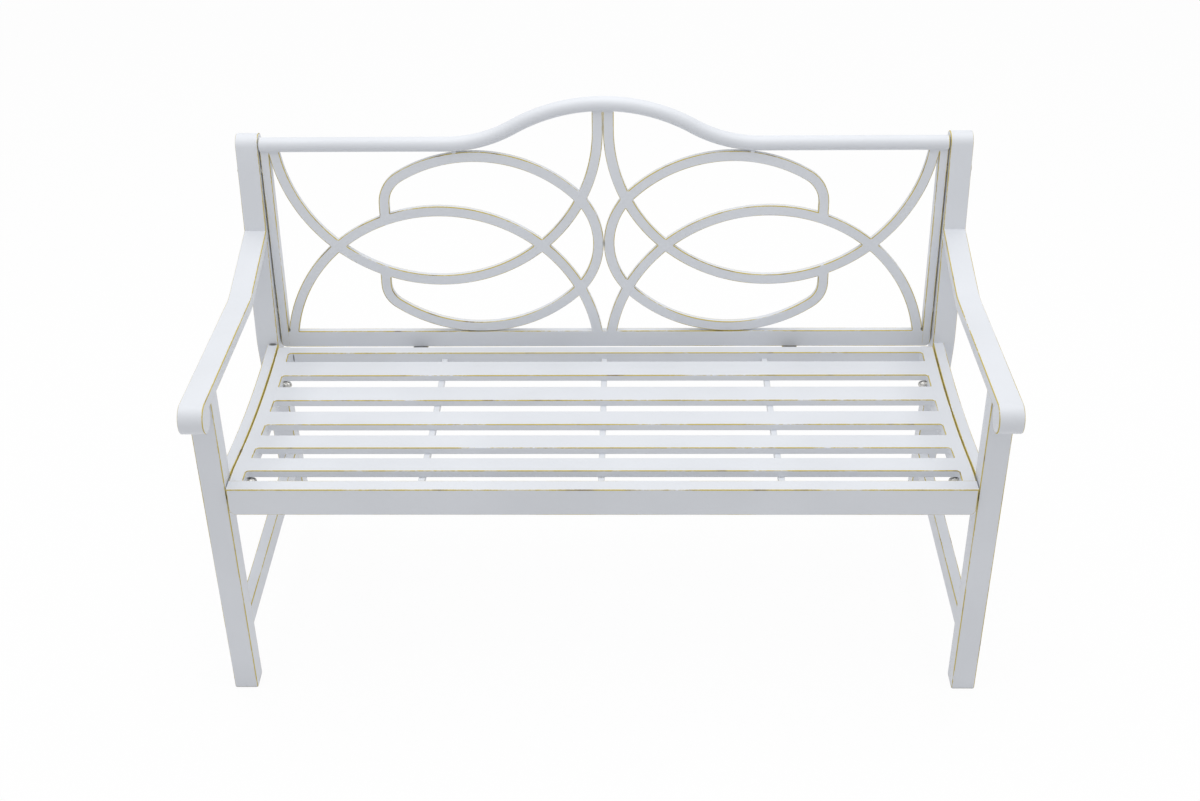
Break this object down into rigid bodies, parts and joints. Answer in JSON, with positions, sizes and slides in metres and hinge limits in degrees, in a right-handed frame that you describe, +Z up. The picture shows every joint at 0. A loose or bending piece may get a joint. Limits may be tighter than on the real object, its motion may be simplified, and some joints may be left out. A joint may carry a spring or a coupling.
{
  "type": "garden bench",
  "caption": "Welded metal garden bench with a dished slatted seat, scrolled interlaced back under a crowned round top rail, and flat armrests with rolled noses.",
  "frame": {"origin": "on the floor below the middle of the bench's box", "axes": "+X along the bench to the sitter's left, as seen from the front to the right, +Y to the rear, +Z up"},
  "size_m": [1.246, 0.6037, 0.8451],
  "materials": {
    "frame_paint": "satin white paint with antique gold rubbed along the edges",
    "foot_plastic": "moulded, matte",
    "fastener_metal": "dulled zinc plate"
  },
  "bodies": {
    "root": {"arch_bar_left": "frame_paint", "arch_bar_right": "frame_paint", "armrest_left": "frame_paint", "armrest_right": "frame_paint", "back_bolts": "fastener_metal", "back_bottom_rail": "frame_paint", "back_brackets": "frame_paint", "back_inserts": "fastener_metal", "back_lugs": "frame_paint", "back_spacers": "fastener_metal", "back_stile_left": "frame_paint", "back_stile_right": "frame_paint", "back_top_rail": "frame_paint", "bracket_screws": "fastener_metal", "end_rail_left": "frame_paint", "end_rail_right": "frame_paint", "foot_plugs": "foot_plastic", "front_leg_left": "frame_paint", "front_leg_right": "frame_paint", "hammock_bar_left": "frame_paint", "hammock_bar_right": "frame_paint", "oval_bar_left": "frame_paint", "oval_bar_right": "frame_paint", "rear_post_left": "frame_paint", "rear_post_right": "frame_paint", "seat_bolts": "fastener_metal", "seat_cap_nuts": "fastener_metal", "seat_front_rail": "frame_paint", "seat_rear_rail": "frame_paint", "seat_side_rail_left": "frame_paint", "seat_side_rail_right": "frame_paint", "seat_spacers": "fastener_metal", "seat_washers": "fastener_metal", "slat_1": "frame_paint", "slat_2": "frame_paint", "slat_3": "frame_paint", "slat_4": "frame_paint", "slat_5": "frame_paint", "stretcher_left": "frame_paint", "stretcher_right": "frame_paint", "support_bar_left": "frame_paint", "support_bar_middle": "frame_paint", "support_bar_right": "frame_paint"}
  },
  "joints": []
}
